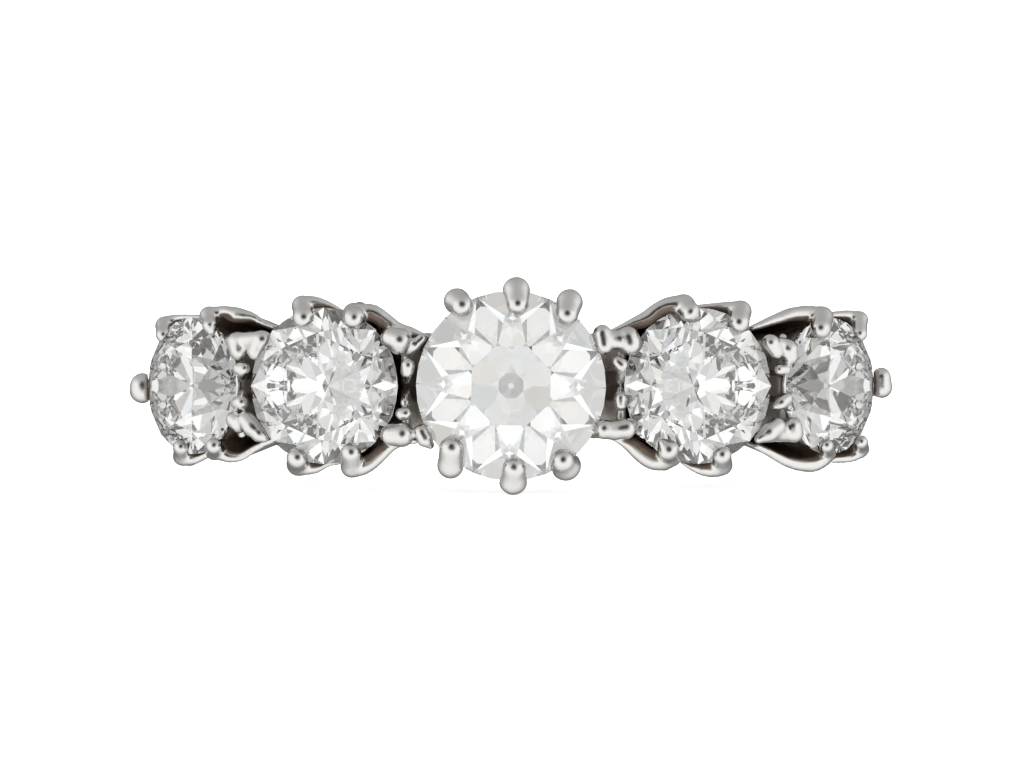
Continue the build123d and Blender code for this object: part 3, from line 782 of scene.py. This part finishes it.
def stone_rooms(field):
    """Cut each stone's own shape out of the metal, and return the distances to the stones."""
    stone_values = np.full(field.values.shape, far, dtype=np.float32)
    back = lay_down.inverted()
    for stone in stones:
        places = np.array([back @ vertex.co for vertex in frame["nodes"][stone.name].data.vertices])
        slices, (x, y, z) = field.window(places.min(axis=0), places.max(axis=0))
        own = np.full(field.values[slices].shape, -far, dtype=np.float32)
        for row in stone_planes(stone).astype(np.float32):
            np.maximum(own, x * row[0] + y * row[1] + z * row[2] - row[3], out=own)
        field.values[slices] = np.maximum(field.values[slices], stone_clearance - own)
        stone_values[slices] = np.minimum(stone_values[slices], own)
    return stone_values


# From the field to a mesh

def surface_of(field):
    """The field's zero surface: a point in each cell that it crosses, and the faces between them."""
    values = field.values
    inside = values < 0
    rows, columns = values.shape[1], values.shape[2]
    cells, points, faces = [], [], []
    for axis in range(3):
        first, second = [slice(None)] * 3, [slice(None)] * 3
        first[axis], second[axis] = slice(0, -1), slice(1, None)
        found = np.argwhere(inside[tuple(first)] != inside[tuple(second)])
        ahead = found.copy()
        ahead[:, axis] += 1
        start, end = values[tuple(found.T)], values[tuple(ahead.T)]
        crossing = found.astype(float)
        crossing[:, axis] += start / (start - end)
        corners = []
        for one, other in ((0, 0), (-1, 0), (-1, -1), (0, -1)):
            cell = found.copy()
            cell[:, (axis + 1) % 3] += one
            cell[:, (axis + 2) % 3] += other
            corners.append((cell[:, 0] * rows + cell[:, 1]) * columns + cell[:, 2])
        quad = np.stack(corners, axis=1)
        leaving = inside[tuple(found.T)]
        quad[~leaving] = quad[~leaving][:, ::-1]
        faces.append(quad)
        cells.append(quad.ravel())
        points.append(np.repeat(crossing, 4, axis=0))
    cells, faces = np.concatenate(cells), np.concatenate(faces)
    points = np.concatenate(points)
    kept, which = np.unique(cells, return_inverse=True)
    count = np.bincount(which)
    middle = np.stack([np.bincount(which, weights=points[:, n]) / count for n in range(3)], axis=1)
    return grid_low + spacing * middle, np.searchsorted(kept, faces)


def filled_share(field, stone_values):
    """How much of the space round each place is filled by metal or stone, on every other grid line."""
    values = np.minimum(field.values, stone_values)[::coarse, ::coarse, ::coarse]
    filled = np.clip(0.5 - values / (spacing * coarse), 0, 1)
    width = int(round(hollow_reach / (spacing * coarse)))
    for axis in (0, 1, 2) * 2:
        running = np.cumsum(np.pad(filled, [(width + 1, width) if n == axis else (0, 0) for n in range(3)],
                                   mode="edge"), axis=axis, dtype=np.float64)
        size = filled.shape[axis]
        upper = np.take(running, np.arange(2 * width + 1, 2 * width + 1 + size), axis=axis)
        lower = np.take(running, np.arange(size), axis=axis)
        filled = (upper - lower) / (2 * width + 1)
    return filled


def sampled(values, places):
    """The values at these places, blended between the nearest grid points."""
    rows = (places - grid_low) / (spacing * coarse)
    rows = np.clip(rows, 0, np.array(values.shape) - last_cell)
    base = rows.astype(int)
    share = rows - base
    total = 0.0
    for corner in np.ndindex(2, 2, 2):
        weight = np.prod(np.where(np.array(corner) == 1, share, 1 - share), axis=1)
        total = total + weight * values[tuple((base + corner).T)]
    return total


def mesh_of(name, points, faces):
    """A mesh of these points and four-sided faces."""
    mesh = bpy.data.meshes.new(name)
    mesh.vertices.add(len(points))
    mesh.vertices.foreach_set("co", points.astype(np.float32).ravel())
    mesh.loops.add(faces.size)
    mesh.loops.foreach_set("vertex_index", faces.astype(np.int32).ravel())
    mesh.polygons.add(len(faces))
    mesh.polygons.foreach_set("loop_start", np.arange(0, faces.size, faces.shape[1], dtype=np.int32))
    mesh.update(calc_edges=True)
    mesh.validate()
    return mesh


def stored(mesh, name, values):
    """Keep a number for each of the mesh's points."""
    mesh.attributes.new(name, "FLOAT", "POINT").data.foreach_set("value", values.astype(np.float32))


def eased(values, start, end):
    """0 before the start, 1 after the end, and smooth between."""
    share = np.clip((values - start) / (end - start), 0, 1)
    return share * share * (3 - 2 * share)


def polished_forms():
    """The heads and lobes that polishing reached, each as a chain of points with radii."""
    chains = []
    for stone in stones:
        origin, along, facing = seat_of(stone)
        chains += [(origin, facing, claw.head) for claw in claws[stone.name]]
    for (left, right), parts in zip(zip(stones, stones[1:]), lobes):
        origin, facing = gap_place(left, right)
        chains += [(origin, facing, part) for part in parts]
    return [
        [(spot(origin, facing, place), place[3] * pixel) for place in chain]
        for origin, facing, chain in chains
    ]


def nearest_form(places, chains):
    """Each point's distance to the nearest of these chains."""
    coordinates = [places[:, n].astype(np.float32) for n in range(3)]
    nearest = np.full(len(places), far, dtype=np.float32)
    for chain in chains:
        for (start, first), (end, second) in zip(chain, chain[1:]):
            nearest = np.minimum(nearest, bar_distance(coordinates, start, end, first, second))
    return nearest


def inner_faces(places, normals, rims):
    """How far each point faces the ring's middle plane, off the polished heads and lobes, for the painted
    shade and tarnish on the walls' inner faces. On the inner stones' bands the painted shade and tarnish
    start before the crest."""
    inner_rims = [rim for stone, rim in rims if abs(stone.along) < abs(stones[0].along)]
    band = 1 - eased(nearest_form(places, inner_rims), *band_margin)
    facing = -np.sign(places[:, 2]) * normals[:, 2] + band_shift * band
    off_forms = eased(nearest_form(places, polished_forms()), *bright_margin)
    return eased(facing, inner_start, inner_full) * off_forms


def insides(places):
    """1 for each point on the inside of a collet, under its stone."""
    inside = np.zeros(len(places))
    for stone in stones:
        origin, along, facing = seat_of(stone)
        depth = -(places - origin) @ facing
        reach = np.hypot((places - origin) @ along, places[:, 2])
        under = (depth > frost_top) & (depth < stone.height - frost_top)
        inside[under & (reach < collet_radius(stone, depth) - collet_wall / 2)] = 1
    return inside


def unevenness(places):
    """How far each point of the hand-worked metal lies below its drawn surface."""
    waves = sum(
        np.sin(places @ np.array(way) / np.linalg.norm(way) * (2 * pi / length) + length)
        for way, length in uneven_waves
    )
    return uneven * (waves / len(uneven_waves) + 1) / 2


def metal_piece():
    """The whole mount as one fused surface, as cast and soldered metal that was polished."""
    field = Field()
    reach = shank_and_rail(field)
    collets(field)
    rims = claw_forms(field)
    gap_forms(field)
    eyes_out(field)
    stone_values = stone_rooms(field)
    finger_hole = finger_radius - reach
    field.values = soft_max(field.values + np.float32(skin), finger_hole, edge_blend).astype(np.float32)
    points, faces = surface_of(field)
    piece = new_object("ring_metal", mesh_of("ring_metal", points, faces))
    thin = piece.modifiers.new("thin", "DECIMATE")
    thin.ratio = min(1.0, metal_triangles / (2 * len(faces)))
    mesh = applied(piece).data
    places, normals = np.zeros(3 * len(mesh.vertices)), np.zeros(3 * len(mesh.vertices))
    mesh.vertices.foreach_get("co", places)
    mesh.vertex_normals.foreach_get("vector", normals)
    places, normals = places.reshape(-1, 3), normals.reshape(-1, 3)
    # Painted shade and tarnish: the more of the space round a point is filled by metal or stone, and the more
    # it faces the ring's middle plane, the darker brown the material paints it
    hollow = sampled(filled_share(field, stone_values), places + hollow_lift * normals)
    hollow += inner_shade_gain * inner_faces(places, normals, rims)
    stored(mesh, "hollow", hollow)
    stored(mesh, "frost", insides(places))
    mesh.vertices.foreach_set("co", (places - unevenness(places)[:, None] * normals).ravel())
    mesh.transform(lay_down)
    mesh.polygons.foreach_set("use_smooth", np.ones(len(mesh.polygons), dtype=bool))
    mesh.materials.append(white_metal())
    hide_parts("ring_mount")
    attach(piece, "root")


# Materials

def white_metal():
    """Polished white metal with fine wear, and brown tarnish, deepened into painted shade, in the hollows
    that polishing missed and on the walls' inner faces.
    """
    material = bpy.data.materials.new("white_metal")
    tree = emptied_tree(material)
    place = joined(tree, "ShaderNodeTexCoord", {}, {}).outputs["Object"]
    hollow = joined(tree, "ShaderNodeAttribute", {"attribute_name": "hollow"}, {}).outputs["Fac"]
    frost = joined(tree, "ShaderNodeAttribute", {"attribute_name": "frost"}, {}).outputs["Fac"]
    patches = noise_of(tree, place, *patch_noise)
    # Tarnish and painted shade: the hollow value, moved by the cloud patches, picks a colour from clean metal
    # through brown to the dark brown of painted shade in the most filled hollows
    shift = math_of(tree, "MULTIPLY_ADD", patches, patch_shift, hollow)
    depth = math_of(tree, "SUBTRACT", shift, patch_shift / 2)
    colour = ramp_of(tree, depth, tarnish_and_shade_stops)
    speckle = ramp_of(tree, noise_of(tree, place, *grain_noise), speckle_stops)
    tarnish_and_shade = joined(tree, "ShaderNodeMapRange", {"interpolation_type": "SMOOTHSTEP"}, {
        "Value": depth, "From Min": tarnish_and_shade_stops[0][0], "From Max": tarnish_and_shade_stops[2][0],
    }).outputs["Result"]
    dull = math_of(tree, "MAXIMUM", tarnish_and_shade, frost)
    bump = joined(tree, "ShaderNodeBump", {}, {
        "Strength": wear_strength, "Distance": wear_height * MM, "Height": noise_of(tree, place, *wear_noise),
    })
    brown = mix_of(tree, tarnish_and_shade, colour, product_of(tree, colour, speckle))
    surface_in(tree, {
        "Base Color": mix_of(tree, frost, brown, frost_colour),
        "Roughness": range_of(tree, dull, roughness_ends),
        "Metallic": range_of(tree, dull, metallic_ends),
        "Normal": bump.outputs["Normal"],
    })
    return material


def diamond():
    """Clear stone with a diamond's refraction and the faintest warm tint."""
    material = bpy.data.materials.new("diamond")
    surface_in(emptied_tree(material), {
        "Base Color": stone_colour,
        "Roughness": 0.0,
        "IOR": stone_refraction,
        "Transmission Weight": 1.0,
    })
    return material


def floor_paint():
    """Plain white light table."""
    material = bpy.data.materials.new("floor")
    surface_in(emptied_tree(material), {
        "Base Color": floor_colour,
        "Roughness": floor_roughness,
        "Specular IOR Level": 0.0,
        "Emission Color": grey_of(1.0),
        "Emission Strength": floor_glow,
    })
    return material


def stone_finish():
    """The cut stones keep their own solids, with sharp flat facets."""
    clear = diamond()
    for stone in stones:
        node = frame["nodes"][stone.name]
        node.data.materials.clear()
        node.data.materials.append(clear)
        node.visible_shadow = False


# Stage

def angle_from(tree, place, rise):
    """The angle between a direction and the front, raised by an angle, as a share of half a turn."""
    front = (0, -cos(rise), sin(rise))
    towards = joined(tree, "ShaderNodeVectorMath", {"operation": "DOT_PRODUCT"}, {0: place, 1: front})
    return math_of(tree, "DIVIDE", math_of(tree, "ARCCOSINE", towards.outputs["Value"]), pi)


def by_angle(tree, angle, stops):
    """The grey at an angle that is a share of half a turn, from stops in degrees."""
    return ramp_of(tree, angle, [(turn / half_turn, grey) for turn, grey in stops])


def tent():
    """A world that is bright all round: greyer overhead and dark at the lens for what the metal
    mirrors, with soft pale patches for what the stones gather, and plain white for the floor."""
    world = bpy.data.worlds.new("studio")
    bpy.context.scene.world = world
    tree = emptied_tree(world)
    place = joined(tree, "ShaderNodeTexCoord", {}, {}).outputs["Generated"]
    swing = lens_wobble / half_turn
    wobble = math_of(tree, "MULTIPLY_ADD", noise_of(tree, place, *lens_noise), 2 * swing, -swing)
    from_lens = math_of(tree, "ADD", angle_from(tree, place, radians(lens_rise)), wobble)
    height = joined(tree, "ShaderNodeSeparateXYZ", {}, {"Vector": place}).outputs["Z"]
    level = math_of(tree, "MULTIPLY_ADD", height, 0.5, 0.5)
    by_height = ramp_of(tree, level, [((rise + 1) / 2, grey) for rise, grey in metal_height])
    for_metal = product_of(tree, by_angle(tree, from_lens, metal_front), by_height, grey_of(metal_gain))
    gathered = by_angle(tree, angle_from(tree, place, pitch), stone_front)
    patches = ramp_of(tree, noise_of(tree, place, *stone_patch_noise), stone_patches)
    tints = ramp_of(tree, noise_of(tree, place, *stone_tint_noise), stone_tints)
    for_stones = product_of(tree, gathered, patches, tints, grey_of(stone_gain))
    ray = joined(tree, "ShaderNodeLightPath", {}, {})
    light = mix_of(tree, ray.outputs["Is Transmission Ray"], for_metal, for_stones)
    light = mix_of(tree, ray.outputs["Is Diffuse Ray"], light, grey_of(open_light))
    background = joined(tree, "ShaderNodeBackground", {}, {"Color": light, "Strength": 1.0})
    joined(tree, "ShaderNodeOutputWorld", {}, {"Surface": background.outputs["Background"]})


def area_lamp(name, width, height, power, location):
    """An area light that the metal doesn't mirror."""
    light = bpy.data.lights.new(name, "AREA")
    light.shape = "RECTANGLE"
    light.size = width
    light.size_y = height
    light.energy = power
    lamp = new_object(name, light)
    lamp.location = location
    lamp.visible_glossy = False
    return lamp


def studio():
    """White floor, a lamp overhead, a small one in the finger hole, and the light tent."""
    bpy.ops.mesh.primitive_plane_add(size=floor_size, location=(0, 0, cad_bounds[0][2]))
    floor = bpy.context.object
    floor.name = "floor"
    floor.data.materials.append(floor_paint())
    floor.visible_glossy = False
    floor.visible_transmission = False

    overhead = area_lamp("lamp", lamp_size, lamp_size, lamp_power, (0, 0, lamp_height))
    overhead.visible_transmission = False

    place = lay_down @ Vector((0, -back_lamp_reach, 0))
    behind = area_lamp("back_lamp", back_lamp_width, back_lamp_height, back_lamp_power, place)
    behind.rotation_euler = (lay_down.to_3x3() @ Vector((0, -1, 0))).to_track_quat("-Z", "Y").to_euler()
    behind.visible_camera = False
    tent()


def camera():
    """The camera looks square on at the middle stone."""
    low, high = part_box("centre_stone")
    across = photo_width / 2 - middle_stone_pixel[0]
    up = middle_stone_pixel[1] - photo_height / 2
    target = (low + high) / 2 + Vector((across, 0, up)) * pixel * MM
    towards = Vector((0, cos(pitch), -sin(pitch)))
    data = bpy.data.cameras.new("camera")
    data.sensor_width = sensor_width
    data.lens = sensor_width * camera_distance / (photo_width * pixel * MM)
    data.clip_start = near_share * camera_distance
    data.clip_end = far_share * camera_distance
    eye = new_object("camera", data)
    eye.location = target - towards * camera_distance
    eye.rotation_euler = towards.to_track_quat("-Z", "Y").to_euler()
    bpy.context.scene.camera = eye


camera()
studio()
metal_piece()
stone_finish()
bpy.context.scene.view_settings.view_transform = "Standard"
bpy.context.scene.cycles.max_bounces = light_bounces
bpy.context.scene.cycles.glossy_bounces = light_bounces
bpy.context.scene.cycles.transmission_bounces = light_bounces
